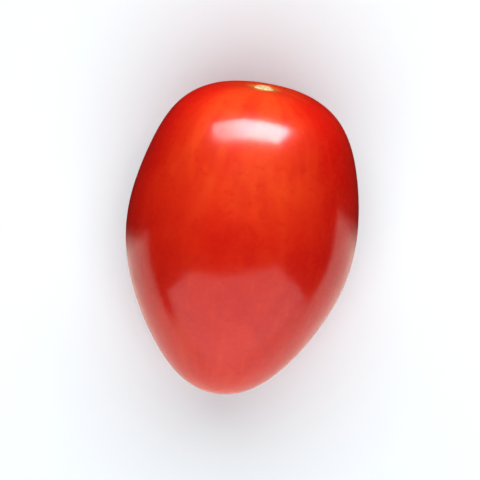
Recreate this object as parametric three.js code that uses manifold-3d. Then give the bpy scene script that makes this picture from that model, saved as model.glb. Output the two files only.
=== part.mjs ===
// A mini plum tomato lying on its side on a small flat spot.
// Millimetres, +Z up, the long axis along Y with the stem end at +Y.
import * as THREE from 'three';
import { mergeVertices } from 'three/addons/utils/BufferGeometryUtils.js';
import Module from 'manifold-3d';

const wasm = await Module();
wasm.setup();

// the outline: an oval whose girth changes along it, broad at the stem end and drawn in at the tip
const fruitLength = 36.7;
const acrossWidest = 26.5;
const taper = 0.09; // wider towards the stem than towards the tip
const middleFullness = -0.14; // negative draws the quarters in, so the middle looks fuller
const shoulder = 0.2; // squares the stem end and sharpens the tip
const endFullness = 0.29; // blunts both ends

// the stem end: a shallow hollow with a corky ring round the scar
const hollowDepth = 0.45;
const hollowRadius = 3.0;
const scarRadius = 1.0;
const ringHeight = 0.16;
const ringWidth = 0.3;
const pitDepth = 0.22;
const pitRadius = 0.5;

// the small dry point where the blossom was
const pointHeight = 0.12;
const pointRadius = 0.45;

// the fruit isn't quite round: three faint lobes at the shoulder and a slightly oval girth
const lobes = 3;
const lobeDepth = 0.012;
const lobeTurn = THREE.MathUtils.degToRad(35);
const lobeCentre = 9.5; // from the middle towards the stem
const lobeSpread = 8;
const ovalness = 0.006;

// how it lies
const stemLift = THREE.MathUtils.degToRad(7); // the stem end is raised by this much
const restDepth = 0.25; // the skin is flattened this much where it touches the table

// how finely the surface is divided; above 1 the crowding draws the rings together at an end
const roundSteps = 60;
const stemSteps = 24;
const stemCrowding = 1.45;
const tipSteps = 22;
const tipCrowding = 1.25;
const girthSamples = 400;

const tableSize = 60;
const mergeDistance = 1e-4;

function bump(distance, spread) {
  return Math.exp(-((distance / spread) ** 2));
}

// girth of the oval, where along runs from -1 at the tip to 1 at the stem end
function girth(along) {
  const round = Math.sqrt(Math.max(1 - along ** 2, 0));
  const lean = taper * along + shoulder * along ** 3;
  const fullness = middleFullness * along ** 2 + endFullness * along ** 4;
  return round * (1 + lean + fullness);
}

function widestGirth() {
  let widest = 0;
  for (let i = 0; i <= girthSamples; i += 1) {
    widest = Math.max(widest, girth((2 * i) / girthSamples - 1));
  }
  return widest;
}

// the hollow, the corky ring and the pit at the stem end, as a height at a radius from the long axis
function stemRelief(radius) {
  const hollow = hollowDepth * bump(radius, hollowRadius);
  const ring = ringHeight * bump(radius - scarRadius, ringWidth);
  const pit = pitDepth * bump(radius, pitRadius);
  return ring - hollow - pit;
}

// half section from the tip to the stem end, a point at each angle from the stem end
function profile() {
  const scale = acrossWidest / 2 / widestGirth();
  const halfLength = fruitLength / 2;
  const points = [];
  for (let i = 0; i <= tipSteps; i += 1) {
    const along = -Math.cos((Math.PI / 2) * (i / tipSteps) ** tipCrowding);
    const radius = scale * girth(along);
    points.push(new THREE.Vector2(radius, halfLength * along - pointHeight * bump(radius, pointRadius)));
  }
  for (let i = stemSteps - 1; i >= 0; i -= 1) {
    const along = Math.cos((Math.PI / 2) * (i / stemSteps) ** stemCrowding);
    const radius = scale * girth(along);
    points.push(new THREE.Vector2(radius, halfLength * along + stemRelief(radius)));
  }
  return points;
}

// lobes and ovalness: each point moves a little towards or away from the long axis
function shapeGirth(geometry) {
  const position = geometry.attributes.position;
  const point = new THREE.Vector3();
  for (let i = 0; i < position.count; i += 1) {
    point.fromBufferAttribute(position, i);
    const angle = Math.atan2(point.z, point.x);
    const lobe = lobeDepth * Math.cos(lobes * angle + lobeTurn) * bump(point.y - lobeCentre, lobeSpread);
    const scale = 1 + lobe + ovalness * Math.cos(2 * angle);
    position.setXYZ(i, point.x * scale, point.y, point.z * scale);
  }
}

// a closed geometry as a solid, its seam and its two ends merged
function solidFrom(geometry) {
  geometry.deleteAttribute('normal');
  geometry.deleteAttribute('uv');
  const merged = mergeVertices(geometry, mergeDistance);
  const corners = merged.index.array;
  const triangles = [];
  for (let i = 0; i < corners.length; i += 3) {
    const [a, b, c] = [corners[i], corners[i + 1], corners[i + 2]];
    if (a !== b && b !== c && c !== a) {
      triangles.push(a, b, c);
    }
  }
  return new wasm.Manifold(new wasm.Mesh({
    numProp: 3,
    vertProperties: new Float32Array(merged.attributes.position.array),
    triVerts: new Uint32Array(triangles),
  }));
}

function geometryFrom(solid) {
  const { vertProperties, triVerts } = solid.getMesh();
  const geometry = new THREE.BufferGeometry();
  geometry.setAttribute('position', new THREE.BufferAttribute(new Float32Array(vertProperties), 3));
  geometry.setIndex(new THREE.BufferAttribute(new Uint32Array(triVerts), 1));
  geometry.computeVertexNormals();
  return geometry;
}

// the whole fruit, turned as it lies, with its resting spot cut flat at z = 0
function fruitGeometry() {
  const fruit = new THREE.LatheGeometry(profile(), roundSteps);
  shapeGirth(fruit);
  fruit.rotateX(stemLift);
  fruit.computeBoundingBox();
  const { min, max } = fruit.boundingBox;
  fruit.translate(-(min.x + max.x) / 2, -(min.y + max.y) / 2, -min.z - restDepth);

  const table = new THREE.BoxGeometry(tableSize, tableSize, tableSize);
  table.translate(0, 0, -tableSize / 2);
  return geometryFrom(solidFrom(fruit).subtract(solidFrom(table)));
}

function skinMaterial() {
  return new THREE.MeshStandardMaterial({ color: 0xc8210f, roughness: 0.22, metalness: 0 });
}

const tomato = new THREE.Mesh(fruitGeometry(), skinMaterial());
tomato.name = 'tomato';

const group = new THREE.Group();
group.add(tomato);

export default group;
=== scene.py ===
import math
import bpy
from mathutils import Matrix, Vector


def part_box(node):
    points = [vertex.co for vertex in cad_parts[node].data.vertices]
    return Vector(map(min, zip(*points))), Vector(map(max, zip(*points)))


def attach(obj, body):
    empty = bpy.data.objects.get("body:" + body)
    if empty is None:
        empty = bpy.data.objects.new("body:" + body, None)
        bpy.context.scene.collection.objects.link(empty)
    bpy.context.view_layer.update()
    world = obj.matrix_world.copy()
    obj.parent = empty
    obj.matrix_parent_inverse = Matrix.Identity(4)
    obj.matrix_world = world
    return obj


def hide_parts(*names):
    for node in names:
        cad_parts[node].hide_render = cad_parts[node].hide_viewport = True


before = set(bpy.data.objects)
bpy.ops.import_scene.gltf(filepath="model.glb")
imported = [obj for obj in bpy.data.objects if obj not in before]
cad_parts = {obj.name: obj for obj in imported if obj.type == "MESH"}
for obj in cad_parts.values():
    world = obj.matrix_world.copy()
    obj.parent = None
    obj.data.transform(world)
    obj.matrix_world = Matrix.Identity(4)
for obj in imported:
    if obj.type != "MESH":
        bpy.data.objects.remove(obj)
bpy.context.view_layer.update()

# A ripe mini plum tomato lying on its side. Metres, +Z up, the long axis along Y, the stem end at +Y.
from types import SimpleNamespace

import bpy
from mathutils import Euler, Matrix, Vector, noise

mm = 0.001
fruitLow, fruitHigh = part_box("tomato")
fruitMiddle = (fruitLow + fruitHigh) / 2
fruitSize = fruitHigh - fruitLow


fruit = {
    "length": 36.7 * mm,  # from the tip to the top of the shoulders, before the hollow is pressed in
    "across": 26.5 * mm,  # at the widest ring
    "segments": 128,
    "rings": 84,
    "taper": 0.09,  # wider towards the stem than towards the tip
    "middleFullness": -0.14,  # below 0 draws the quarters in
    "shoulder": 0.2,  # squares the stem end and sharpens the tip
    "endFullness": 0.29,  # blunts both ends
    "hollowDepth": 0.45 * mm,  # the shallow hollow round the stem scar
    "hollowRadius": 3.0 * mm,
    "scarCap": 1.75 * mm,  # inside this radius the scar is modelled by insets
    "tipCap": 0.75 * mm,
    # each step of the corky ring and its pit, and of the tip, is an inset: how far in, and how far up, in mm
    "scarSteps": [
        (0.22, 0.00), (0.16, 0.02), (0.12, 0.09), (0.10, 0.08), (0.12, 0.02), (0.12, -0.05),
        (0.12, -0.10), (0.14, -0.11), (0.16, -0.07), (0.16, -0.02), (0.12, 0.04), (0.08, 0.03),
    ],
    "tipSteps": [(0.20, 0.00), (0.14, 0.03), (0.12, 0.06), (0.10, 0.03), (0.08, -0.04)],
    "lobes": 3,
    "lobeDepth": 0.012,
    "lobeTurn": math.radians(35),
    "lobeCentre": 9.5 * mm,
    "lobeSpread": 8 * mm,
    "ovalness": 0.006,
    "unevenness": 0.12 * mm,
    "unevenSize": 11 * mm,
    "smoothing": 1,  # how many times the finished skin is subdivided
    "stemLift": math.radians(7),  # the stem end is raised by this much
    "restDepth": 0.25 * mm,  # how far the skin is flattened where it touches the table
}
girthSteps = 400  # how many places are tried to find the widest
closeEnough = 0.01 * mm  # a point this near a ring is on it
cutTolerance = 0.001 * mm


def bump(distance, spread):
    return math.exp(-((distance / spread) ** 2))


# girth of the fruit, where along runs from -1 at the tip to 1 at the stem end
def girth(along):
    lean = fruit["taper"] * along + fruit["shoulder"] * along ** 3
    fullness = fruit["middleFullness"] * along ** 2 + fruit["endFullness"] * along ** 4
    return math.sqrt(max(1 - along * along, 0)) * (1 + lean + fullness)


def clearSelection():
    bpy.ops.object.select_all(action="DESELECT")


# selects the points of the object in edit mode that the test picks
def pickPoints(obj, test):
    bpy.ops.mesh.select_mode(type="VERT")
    bpy.ops.mesh.select_all(action="DESELECT")
    bpy.ops.object.mode_set(mode="OBJECT")
    for point in obj.data.vertices:
        point.select = test(point.co)
    bpy.ops.object.mode_set(mode="EDIT")


def pickFaces(obj, test):
    bpy.ops.mesh.select_mode(type="FACE")
    bpy.ops.mesh.select_all(action="DESELECT")
    bpy.ops.object.mode_set(mode="OBJECT")
    for face in obj.data.polygons:
        face.select = test(face.center)
    bpy.ops.object.mode_set(mode="EDIT")


# a ball is stretched to the fruit's length, and then each of its rings is scaled to the girth there
def roughFruit():
    half = fruit["length"] / 2
    widest = max(girth(2 * step / girthSteps - 1) for step in range(girthSteps + 1))
    clearSelection()
    bpy.ops.mesh.primitive_uv_sphere_add(
        segments=fruit["segments"], ring_count=fruit["rings"], radius=fruit["across"] / 2,
        rotation=(-math.pi / 2, 0, 0))
    obj = bpy.context.object
    obj.name = "tomato_fruit"
    bpy.ops.object.transform_apply(rotation=True)
    bpy.ops.object.mode_set(mode="EDIT")
    bpy.ops.mesh.select_all(action="SELECT")
    bpy.ops.transform.resize(value=(1, fruit["length"] / fruit["across"], 1), center_override=(0, 0, 0))
    for ring in range(1, fruit["rings"]):
        along = math.cos(math.pi * ring / fruit["rings"])
        ringScale = girth(along) / widest / math.sqrt(1 - along * along)
        pickPoints(obj, lambda spot: abs(spot.y - half * along) < closeEnough)
        bpy.ops.transform.resize(value=(ringScale, 1, ringScale), center_override=(0, half * along, 0))
    bpy.ops.object.mode_set(mode="OBJECT")
    return obj


# the faces inside a radius at one end become one face, which the insets then step in and up
def endCap(obj, side, radius, steps):
    def inCap(centre):
        return centre.y * side > 0 and math.hypot(centre.x, centre.z) < radius

    bpy.ops.object.mode_set(mode="EDIT")
    pickFaces(obj, inCap)
    bpy.ops.mesh.dissolve_faces()
    for inward, upward in steps:
        bpy.ops.mesh.inset(thickness=inward * mm, depth=upward * mm)
    bpy.ops.mesh.poke()
    bpy.ops.object.mode_set(mode="OBJECT")


# the hollow, the lobes, the oval girth and a little unevenness move each point of the skin
def shapeSkin(obj):
    for point in obj.data.vertices:
        spot = point.co
        radius = math.hypot(spot.x, spot.z)
        angle = math.atan2(spot.z, spot.x)
        lobe = fruit["lobeDepth"] * math.cos(fruit["lobes"] * angle + fruit["lobeTurn"])
        lobe *= bump(spot.y - fruit["lobeCentre"], fruit["lobeSpread"])
        uneven = noise.noise(spot / fruit["unevenSize"]) * fruit["unevenness"]
        scale = 1 + lobe + fruit["ovalness"] * math.cos(2 * angle) + uneven / (fruit["across"] / 2)
        hollow = fruit["hollowDepth"] * bump(radius, fruit["hollowRadius"]) if spot.y > 0 else 0
        point.co = Vector((spot.x * scale, spot.y - hollow, spot.z * scale))
    obj.data.update()


# turns the fruit as it lies, sets it in the frame's box and cuts the resting spot level with the table
def layDown(obj):
    obj.data.transform(Matrix.Rotation(fruit["stemLift"], 4, "X"))
    corners = [point.co for point in obj.data.vertices]
    low = Vector([min(corner[axis] for corner in corners) for axis in range(3)])
    high = Vector([max(corner[axis] for corner in corners) for axis in range(3)])
    low.z += fruit["restDepth"]
    fit = Vector([fruitSize[axis] / (high[axis] - low[axis]) for axis in range(3)])
    print("fit to the frame's box", [round(share, 4) for share in fit])
    toBox = Matrix.Translation(fruitLow) @ Matrix.Diagonal((*fit, 1)) @ Matrix.Translation(-low)
    obj.data.transform(toBox)
    bpy.ops.object.mode_set(mode="EDIT")
    bpy.ops.mesh.select_all(action="SELECT")
    bpy.ops.mesh.bisect(
        plane_co=(0, 0, fruitLow.z), plane_no=(0, 0, 1), clear_inner=True, use_fill=True,
        threshold=cutTolerance)
    bpy.ops.mesh.mark_sharp()  # the cut is still selected
    bpy.ops.object.mode_set(mode="OBJECT")


def makeFruit():
    obj = roughFruit()
    endCap(obj, 1, fruit["scarCap"], fruit["scarSteps"])
    endCap(obj, -1, fruit["tipCap"], fruit["tipSteps"])
    shapeSkin(obj)
    smooth = obj.modifiers.new("smooth skin", "SUBSURF")
    smooth.levels = smooth.render_levels = fruit["smoothing"]
    bpy.ops.object.modifier_apply(modifier=smooth.name)
    layDown(obj)
    bpy.ops.object.shade_smooth()
    print("fruit:", len(obj.data.polygons), "faces")
    return obj


# one output of a node, so that sums on it can be written as sums
class Channel:
    def __init__(self, paint, socket):
        self.paint = paint
        self.socket = socket

    def __add__(self, other):
        return self.paint.sum("ADD", self, other)

    def __radd__(self, other):
        return self.paint.sum("ADD", other, self)

    def __sub__(self, other):
        return self.paint.sum("SUBTRACT", self, other)

    def __rsub__(self, other):
        return self.paint.sum("SUBTRACT", other, self)

    def __mul__(self, other):
        return self.paint.sum("MULTIPLY", self, other)

    def __rmul__(self, other):
        return self.paint.sum("MULTIPLY", other, self)

    def __truediv__(self, other):
        return self.paint.sum("DIVIDE", self, other)

    def __rtruediv__(self, other):
        return self.paint.sum("DIVIDE", other, self)


# the node tree of a material or of the world
class Paint:
    def __init__(self, owner):
        owner.use_nodes = True
        self.owner = owner
        self.tree = owner.node_tree
        self.tree.nodes.clear()

    # a node of one type: its settings first, then the values or links of its sockets
    def node(self, kind, settings=None, sockets=None, output=0):
        made = self.tree.nodes.new(kind)
        for name, value in (settings or {}).items():
            setattr(made, name, value)
        for name, value in (sockets or {}).items():
            if isinstance(value, Channel):
                self.tree.links.new(value.socket, made.inputs[name])
            else:
                made.inputs[name].default_value = value
        return Channel(self, made.outputs[output]) if made.outputs else None

    def sum(self, operation, first, second=0.0):
        return self.node("ShaderNodeMath", {"operation": operation}, {0: first, 1: second})

    # the place on the object's own axes, in metres
    def spot(self):
        return self.node("ShaderNodeTexCoord", output=3)

    # how far a place lies along a direction
    def reach(self, place, direction):
        return self.node("ShaderNodeVectorMath", {"operation": "DOT_PRODUCT"}, {0: place, 1: direction}, 1)

    # 0 below low and 1 above high, eased between; with low above high it falls instead
    def ease(self, value, low, high):
        sockets = {"Value": value, "From Min": low, "From Max": high}
        if low > high:
            sockets = {"Value": value, "From Min": high, "From Max": low, "To Min": 1.0, "To Max": 0.0}
        return self.node("ShaderNodeMapRange", {"interpolation_type": "SMOOTHSTEP", "clamp": True}, sockets)

    # the colours of a Mix node are its sockets 6 and 7, and the mixed colour is its output 2
    def mix(self, share, first, second):
        sockets = {0: share, 6: first, 7: second}
        return self.node("ShaderNodeMix", {"data_type": "RGBA", "clamp_factor": True}, sockets, 2)

    def noise(self, place, scale, detail=2.0, roughness=0.5, bend=0.0):
        return self.node("ShaderNodeTexNoise", {}, {
            "Vector": place, "Scale": scale, "Detail": detail, "Roughness": roughness, "Distortion": bend})

    def finish(self, shader, output="ShaderNodeOutputMaterial"):
        self.node(output, {}, {"Surface": shader})
        return self.owner


# a share of 0 to 1, raised so that it starts at the least
def atLeast(least, share):
    return least + (1 - least) * share


# a value shifted up and down by a noise, whose middle is 0.5
def ragged(value, pattern, height):
    return value + (pattern - 0.5) * height


skin = {
    "red": (0.70, 0.0088, 0.0024, 1),
    "deepRed": (0.62, 0.0042, 0.0018, 1),
    "orangeRed": (0.75, 0.0160, 0.0032, 1),
    "streak": (0.79, 0.0310, 0.0055, 1),
    # painted light: the orange of the upper side, where the window's light falls brightest
    "paintedGlow": (0.83, 0.0680, 0.0098, 1),
    "shoulderOrange": (0.83, 0.0700, 0.0105, 1),
    "halo": (0.84, 0.290, 0.035, 1),
    "speckle": (0.86, 0.320, 0.090, 1),
    "cork": (0.68, 0.570, 0.290, 1),
    "corkDark": (0.40, 0.270, 0.100, 1),
    "scarRim": (0.40, 0.130, 0.028, 1),
    "pith": (0.40, 0.420, 0.150, 1),
    "dryPoint": (0.20, 0.085, 0.035, 1),

    # how much of each colour shows where it is strongest
    "redShare": 0.5,
    "broadStreakShare": 0.45,
    "fineStreakShare": 0.5,
    "shadedFlankShare": 0.65,
    "mottleShare": 0.4,
    "grainShare": 0.28,
    "shoulderShare": 0.55,
    "haloShare": 0.75,
    "speckleShare": 0.06,
    "stemSpeckleShare": 0.25,  # added near the stem
    "rimShare": 0.75,
    "pithShare": 0.8,

    # noises: the scale, to the millimetre or, for streaks and rays, round the fruit; detail, roughness, bend
    "cloudNoise": (0.16, 3.0, 0.55, 0.3),
    "broadStreakNoise": (4.6, 2.0, 0.5),
    "fineStreakNoise": (9.0, 3.0, 0.6),
    "rayNoise": (4.5, 2.0, 0.5),
    "mottleNoise": (0.85, 3.0, 0.65),
    "grainNoise": (1.6, 3.0, 0.6),
    "crackNoise": (3.2, 4.0, 0.7),
    "lumpNoise": (1.1, 1.0),
    "patchNoise": (0.9, 1.0),
    "waveNoise": (0.35, 2.0, 0.5),
    "poreNoise": (5.0, 2.0, 0.5),

    # between which values of its noise each one comes in
    "clouds": (0.36, 0.66),
    "broadStreaks": (0.45, 0.75),
    "fineStreaks": (0.5, 0.8),
    "mottle": (0.52, 0.72),
    "grain": (0.42, 0.72),
    "patches": (0.45, 0.62),  # where there are speckles
    "cracks": (0.42, 0.62),

    # where the painted shade and the painted light lie round the fruit, from -1 straight down to 1 straight
    # up
    "shadedFlanks": (1.0, 0.4),
    "paintedGlowSide": (0.45, 0.97),
    "glowLean": 0.15,  # the painted light leans this much to the left of straight up
    "glowAlong": (1.0, 11.5),  # mm from the middle towards the stem
    "glowAtTip": 0.15,
    "glowStreaks": 0.65,  # it comes in patches, this much of them streaks and the rest clouds
    "glowPatches": (0.38, 0.62),
    "glowBetween": 0.45,  # between the patches
    "streakDrift": 0.03,  # how fast the streaks change along the fruit, to the millimetre

    # millimetres out from the long axis where each one starts and where it is full
    "shoulderRadii": (7.0, 1.6),
    "haloRadii": (2.5, 1.0),
    "rimRadii": (1.43, 1.15),  # the brown edge of the scar
    "scarRadii": (1.21, 0.97),
    "pithRadii": (0.75, 0.45),
    "pointRadii": (0.57, 0.30),  # the dry point at the tip
    "shoulderRags": 5.0,  # and how ragged those edges are
    "haloRags": 1.8,
    "scarRags": 0.3,
    "scarLumps": 0.8,
    "pointRags": 0.2,
    "ends": (6.0, 10.0),  # this far from the middle an end begins
    "axisGuard": 0.2,  # keeps the directions round the long axis steady near it

    "speckleScale": 1.1,  # to the millimetre
    "speckleSize": (0.22, 0.06),  # in cells, from its edge to its middle

    # relief in mm, and the height of each part of it in shares of that
    "relief": 0.06,
    "waveHeight": 1.1,
    "poreHeight": 0.035,
    "speckleDip": 0.03,
    "corkHeight": 1.4,

    "roughness": 0.17,
    "grainRoughness": 0.08,
    "dryRoughness": 0.5,  # added on the scar and the dry point
    "ior": 1.45,
    "fleshGlow": 0.7,  # how much of the light goes through the skin into the flesh
    "glowDepth": 2.5 * mm,
    "glowColour": (1.0, 0.2, 0.1),  # red goes deepest
    "wax": 0.15,
    "waxRoughness": 0.42,
    "waxIor": 1.4,
}


# where each point of the skin is, in millimetres from the fruit's middle: across it, along it towards the
# stem, up from the table, and out from the long axis; and the two noises that more than one colour uses
def skinPlaces(paint):
    at = SimpleNamespace()
    at.place = paint.node("ShaderNodeMapping", {"vector_type": "TEXTURE"}, {
        "Vector": paint.spot(), "Location": fruitMiddle, "Rotation": Euler((fruit["stemLift"], 0, 0)),
        "Scale": (mm, mm, mm)})
    split = paint.node("ShaderNodeSeparateXYZ", {}, {"Vector": at.place}).socket.node
    across, at.along, up = (Channel(paint, split.outputs[axis]) for axis in range(3))
    at.radius = paint.sum("SQRT", across * across + up * up)
    at.acrossShare = across / (at.radius + skin["axisGuard"])
    at.upShare = up / (at.radius + skin["axisGuard"])

    begins, full = skin["ends"]
    at.stemSide = paint.ease(at.along, begins, full)
    at.tipSide = paint.ease(at.along, -begins, -full)

    # a place that goes round the fruit with the angle and only slowly along it, for streaks
    at.around = paint.node("ShaderNodeCombineXYZ", {}, {
        "X": at.acrossShare, "Y": at.upShare, "Z": at.along * skin["streakDrift"]})
    at.grain = paint.noise(at.place, *skin["grainNoise"])
    at.cracks = paint.noise(at.place, *skin["crackNoise"])
    return at


# red flesh showing through the skin, cloudy and mottled, with faint lengthwise streaks; painted shade
# darkens the flanks and painted light makes the upper side orange
def fleshColour(paint, at):
    fineStreaks = paint.noise(at.around, *skin["fineStreakNoise"])
    broadStreaks = paint.noise(at.around, *skin["broadStreakNoise"])
    clouds = paint.noise(at.place, *skin["cloudNoise"])
    colour = paint.mix(paint.ease(clouds, *skin["clouds"]), skin["deepRed"], skin["orangeRed"])
    colour = paint.mix(skin["redShare"], colour, skin["red"])
    streaks = paint.ease(broadStreaks, *skin["broadStreaks"])
    colour = paint.mix(streaks * skin["broadStreakShare"], colour, skin["streak"])
    streaks = paint.ease(fineStreaks, *skin["fineStreaks"])
    colour = paint.mix(streaks * skin["fineStreakShare"], colour, skin["streak"])

    # painted shade: the flanks and the underside, turned away from the light, are painted the deepest red
    shadedFlanks = paint.ease(at.upShare, *skin["shadedFlanks"])
    colour = paint.mix(shadedFlanks * skin["shadedFlankShare"], colour, skin["deepRed"])

    # painted light: the upper side is painted more orange, most of all towards the stem, where the window's
    # light falls brightest
    paintedGlowSide = paint.ease(at.upShare - skin["glowLean"] * at.acrossShare, *skin["paintedGlowSide"])
    towardsStem = atLeast(skin["glowAtTip"], paint.ease(at.along, *skin["glowAlong"]))
    patches = broadStreaks * skin["glowStreaks"] + clouds * (1 - skin["glowStreaks"])
    uneven = atLeast(skin["glowBetween"], paint.ease(patches, *skin["glowPatches"]))
    colour = paint.mix(paintedGlowSide * towardsStem * uneven, colour, skin["paintedGlow"])

    # a fine mottle, where the flesh under the skin is closer or further
    mottle = paint.ease(paint.noise(at.place, *skin["mottleNoise"]), *skin["mottle"])
    colour = paint.mix(mottle * skin["mottleShare"], colour, skin["deepRed"])
    grain = paint.ease(at.grain, *skin["grain"])
    return paint.mix(grain * skin["grainShare"], colour, skin["streak"])


# the shoulders ripen last: a little more orange towards the stem, in rays
def shoulderColour(paint, at, colour):
    rays = paint.noise(at.around, *skin["rayNoise"])
    outwards = ragged(at.radius, rays, skin["shoulderRags"])
    nearStem = paint.ease(outwards, *skin["shoulderRadii"]) * at.stemSide
    colour = paint.mix(nearStem * skin["shoulderShare"], colour, skin["shoulderOrange"])
    outwards = ragged(at.radius, rays, skin["haloRags"])
    halo = paint.ease(outwards, *skin["haloRadii"]) * at.stemSide
    return paint.mix(halo * skin["haloShare"], colour, skin["halo"]), nearStem


# the scar: a tan corky ring, dark in its cracks and brown at its edge, round a greenish pith
def scarColour(paint, at, colour):
    outwards = ragged(at.radius, at.cracks, skin["scarRags"])
    edge = ragged(outwards, paint.noise(at.place, *skin["lumpNoise"]), skin["scarLumps"])
    rim = paint.ease(edge, *skin["rimRadii"]) * at.stemSide
    colour = paint.mix(rim * skin["rimShare"], colour, skin["scarRim"])
    cork = paint.mix(paint.ease(at.cracks, *skin["cracks"]), skin["corkDark"], skin["cork"])
    pith = paint.ease(outwards, *skin["pithRadii"])
    cork = paint.mix(pith * skin["pithShare"], cork, skin["pith"])
    scar = paint.ease(edge, *skin["scarRadii"]) * at.stemSide
    return paint.mix(scar, colour, cork), scar


def skinMaterial():
    paint = Paint(bpy.data.materials.new("ripe tomato skin"))
    at = skinPlaces(paint)
    colour = fleshColour(paint, at)
    colour, nearStem = shoulderColour(paint, at, colour)

    # tiny pale speckles, closer together round the stem
    cells = paint.node("ShaderNodeTexVoronoi", {"feature": "F1"}, {
        "Vector": at.place, "Scale": skin["speckleScale"], "Randomness": 1.0})
    patches = paint.ease(paint.noise(at.place, *skin["patchNoise"]), *skin["patches"])
    speckles = paint.ease(cells, *skin["speckleSize"]) * patches
    speckleShare = skin["speckleShare"] + skin["stemSpeckleShare"] * nearStem
    colour = paint.mix(speckles * speckleShare, colour, skin["speckle"])

    colour, scar = scarColour(paint, at, colour)

    # the dry brown point at the tip
    outwards = ragged(at.radius, at.cracks, skin["pointRags"])
    point = paint.ease(outwards, *skin["pointRadii"]) * at.tipSide
    colour = paint.mix(point, colour, skin["dryPoint"])
    dry = paint.sum("MAXIMUM", scar, point)

    # the skin's relief: a very shallow waviness, finer pores, and the rough cork
    relief = paint.noise(at.place, *skin["waveNoise"]) * skin["waveHeight"]
    relief = relief + paint.noise(at.place, *skin["poreNoise"]) * skin["poreHeight"]
    relief = relief - speckles * skin["speckleDip"] + dry * at.cracks * skin["corkHeight"]
    bumped = paint.node("ShaderNodeBump", {}, {
        "Strength": 1.0, "Distance": skin["relief"] * mm, "Height": relief})
    roughness = ragged(skin["roughness"], at.grain, skin["grainRoughness"]) + dry * skin["dryRoughness"]

    return paint.finish(paint.node("ShaderNodeBsdfPrincipled", {}, {
        "Base Color": colour,
        "Roughness": roughness,
        "Normal": bumped,
        "IOR": skin["ior"],
        "Subsurface Weight": skin["fleshGlow"],
        "Subsurface Radius": skin["glowColour"],
        "Subsurface Scale": skin["glowDepth"],
        "Coat Weight": skin["wax"],
        "Coat Roughness": skin["waxRoughness"],
        "Coat IOR": skin["waxIor"],
    }))


view = {
    "distance": 0.5,
    "lens": 325,  # mm; the view takes in about a fruit and a half
    "sensorWidth": 36,
    "nearest": 0.01,
    "furthest": 20,
    "lean": math.radians(4.8),  # the camera stands this far off straight above, on the window's side
    "turn": math.radians(8.84),  # the fruit lies turned by this much in the view
}


# a direction in the view's own terms, right, up and towards the camera, as one in the frame
def inView(right, upward, height):
    return Matrix.Rotation(view["turn"], 3, "Z") @ Vector((right, upward, height))


def addCamera():
    data = bpy.data.cameras.new("camera")
    data.lens = view["lens"]
    data.sensor_width = view["sensorWidth"]
    data.clip_start = view["nearest"]
    data.clip_end = view["furthest"]
    camera = bpy.data.objects.new("camera", data)
    bpy.context.scene.collection.objects.link(camera)
    back = inView(0, math.sin(view["lean"]), math.cos(view["lean"]))
    upward = inView(0, 1, 0)
    right = upward.cross(back).normalized()
    turned = Matrix((right, back.cross(right), back)).transposed().to_4x4()
    camera.matrix_world = Matrix.Translation(fruitMiddle + back * view["distance"]) @ turned
    bpy.context.scene.camera = camera


table = {
    "size": 8.0,
    "colour": (0.85, 0.873, 0.885, 1),
    "distantColour": (0.66, 0.66, 0.68, 1),  # it darkens a little far away, to meet the room behind it
    "distant": (0.15, 1.0),  # from where to where it darkens
    # painted reflection and painted shade: for every ray but the camera's the table is painted warmer, as
    # the red fruit would tint it, and painted dark on the window's side and far to the left and right, where
    # flags would shade it; the skin mirrors these colours and is lit by their bounce
    "paintedBounceColour": (0.98, 0.81, 0.71, 1),
    "paintedShadeColour": (0.10, 0.012, 0.01, 1),
    "shadeUpward": (-5 * mm, 1 * mm),  # towards the window: where it starts and where it is full
    "shadeSideways": (68 * mm, 86 * mm),
    "shadeSlope": 0.9,  # the inner edge of the painted shade at the sides slants by this much
    "shadeSoftness": 10 * mm,
}


def tableMaterial():
    paint = Paint(bpy.data.materials.new("plain white table"))
    spot = paint.spot()
    sideways = paint.sum("ABSOLUTE", paint.reach(spot, inView(1, 0, 0)))
    upward = paint.reach(spot, inView(0, 1, 0))
    slanting = upward + table["shadeSlope"] * sideways
    outer = paint.ease(sideways, *table["shadeSideways"])
    outer = outer * paint.ease(slanting, -table["shadeSoftness"], table["shadeSoftness"])
    # painted shade and painted reflection: what the skin mirrors is warm, and dark on the window's side and
    # far to the sides
    paintedShade = paint.sum("MAXIMUM", outer, paint.ease(upward, *table["shadeUpward"]))
    mirrored = paint.mix(paintedShade, table["paintedBounceColour"], table["paintedShadeColour"])

    distance = paint.node("ShaderNodeVectorMath", {"operation": "LENGTH"}, {0: spot}, 1)
    distant = paint.ease(distance, *table["distant"])
    plain = paint.mix(distant, table["colour"], table["distantColour"])
    colour = paint.mix(paint.node("ShaderNodeLightPath"), mirrored, plain)  # plain where the camera sees it
    return paint.finish(paint.node("ShaderNodeBsdfPrincipled", {}, {
        "Base Color": colour, "Roughness": 1.0, "Specular IOR Level": 0.0}))


def addTable():
    bpy.ops.mesh.primitive_plane_add(size=table["size"], location=(0, 0, fruitLow.z))
    floor = bpy.context.object
    floor.name = "floor"
    floor.data.materials.append(tableMaterial())
    return floor


# broad soft lights from far away: where each comes from in the view's own terms, its strength, its spread
# in degrees, and its colour
fruitLights = {
    "key": ((0.06, 0.98, 0.16), 3.8, 30, (1.0, 0.985, 0.96)),
    "window glow": ((0, 0.75, 0.66), 0.5, 80, (1.0, 0.985, 0.96)),
    "sky": ((0, 0.2, 0.98), 1.65, 24, (0.95, 0.975, 1.0)),
    "fill": ((0, -0.9, 0.44), 1.6, 60, (1.0, 1.0, 1.0)),
}
tableLights = {
    "table light": ((0.05, 0.7, 0.7), 2.3, 64, (0.955, 0.985, 1.0)),
    "table fill": ((0, -0.45, 0.89), 2.35, 64, (0.93, 0.98, 1.0)),
}


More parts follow.
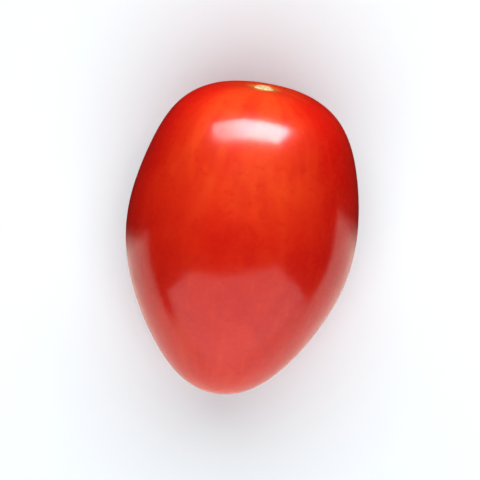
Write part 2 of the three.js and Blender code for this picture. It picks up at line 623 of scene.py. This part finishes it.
# each light lights one thing only, and the skin doesn't mirror it
def addSuns(lights, only):
    for name, (source, strength, spread, colour) in lights.items():
        data = bpy.data.lights.new(name, "SUN")
        data.energy = strength
        data.angle = math.radians(spread)
        data.color = colour
        sun = bpy.data.objects.new(name, data)
        bpy.context.scene.collection.objects.link(sun)
        sun.location = inView(*source)
        sun.rotation_euler = (-sun.location).to_track_quat("-Z", "Y").to_euler()
        sun.visible_glossy = False
        lit = bpy.data.collections.new(name + " lights")
        lit.objects.link(only)
        sun.light_linking.receiver_collection = lit


# cards of light that stand upright on both sides of the fruit and show only as the skin mirrors them. The
# places on a card are shares of its distance, to the right and up
cardDistance = 0.6
cards = {
    "window": {
        "side": 1,  # the stem's side
        "corners": [
            (-0.79, 0.42), (-0.66, 0.29), (0.74, 0.29), (0.86, 0.38),
            (0.87, 1.05), (0.74, 1.26), (-0.62, 1.12), (-0.79, 0.88),
        ],
        "radiance": 20,
        "colour": (0.90, 0.89, 1.0, 1),
        "leftShare": 0.40,  # how bright its left end is
        "brightens": (-0.60, 0.15),  # from left to right
        "fades": (1.16, 0.86),  # from the top down it comes in
        "slant": 0.12,  # its top edge rises this much to the right
    },
    "card": {
        "side": -1,
        "corners": [(-1.6, 0), (1.19, 0), (1.19, 1.45), (0, 1.5), (-1.6, 1.08)],
        "radiance": 1.3,
        "colour": (1, 1, 1, 1),
    },
}


def cardMaterial(name, card):
    paint = Paint(bpy.data.materials.new(name))
    strength = card["radiance"]
    if "fades" in card:
        spot = paint.spot()
        right = paint.reach(spot, inView(1, 0, 0)) / cardDistance
        height = paint.reach(spot, (0, 0, 1)) / cardDistance
        strength = strength * atLeast(card["leftShare"], paint.ease(right, *card["brightens"]))
        strength = strength * paint.ease(height - card["slant"] * right, *card["fades"])
    return paint.finish(paint.node("ShaderNodeEmission", {}, {
        "Color": card["colour"], "Strength": strength}))


def addCards():
    for name, card in cards.items():
        clearSelection()
        bpy.ops.mesh.primitive_circle_add(vertices=len(card["corners"]), fill_type="NGON")
        board = bpy.context.object
        board.name = name
        for point, (right, height) in zip(board.data.vertices, card["corners"]):
            point.co = inView(right * cardDistance, card["side"] * cardDistance, height * cardDistance)
        board.data.materials.append(cardMaterial(name, card))
        board.visible_camera = board.visible_diffuse = board.visible_shadow = False


room = {
    "colour": (0.92, 0.95, 1.0, 1),
    "mirrored": 0.03,  # dim where the skin mirrors it
    "seen": 0.825,  # pale where the camera sees it past the table
}


def addRoom():
    world = bpy.data.worlds.new("room")
    bpy.context.scene.world = world
    bpy.context.scene.view_settings.view_transform = "Standard"
    paint = Paint(world)
    seenByCamera = paint.node("ShaderNodeLightPath")
    brightness = room["mirrored"] + (room["seen"] - room["mirrored"]) * seenByCamera
    background = paint.node("ShaderNodeBackground", {}, {"Color": room["colour"], "Strength": brightness})
    paint.finish(background, "ShaderNodeOutputWorld")


print("building the fruit")
tomato = makeFruit()

print("painting its skin")
tomato.data.materials.clear()
tomato.data.materials.append(skinMaterial())
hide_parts("tomato")
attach(tomato, "root")

print("setting up the studio")
addCamera()
floor = addTable()
addSuns(fruitLights, tomato)
addSuns(tableLights, floor)
addCards()
addRoom()
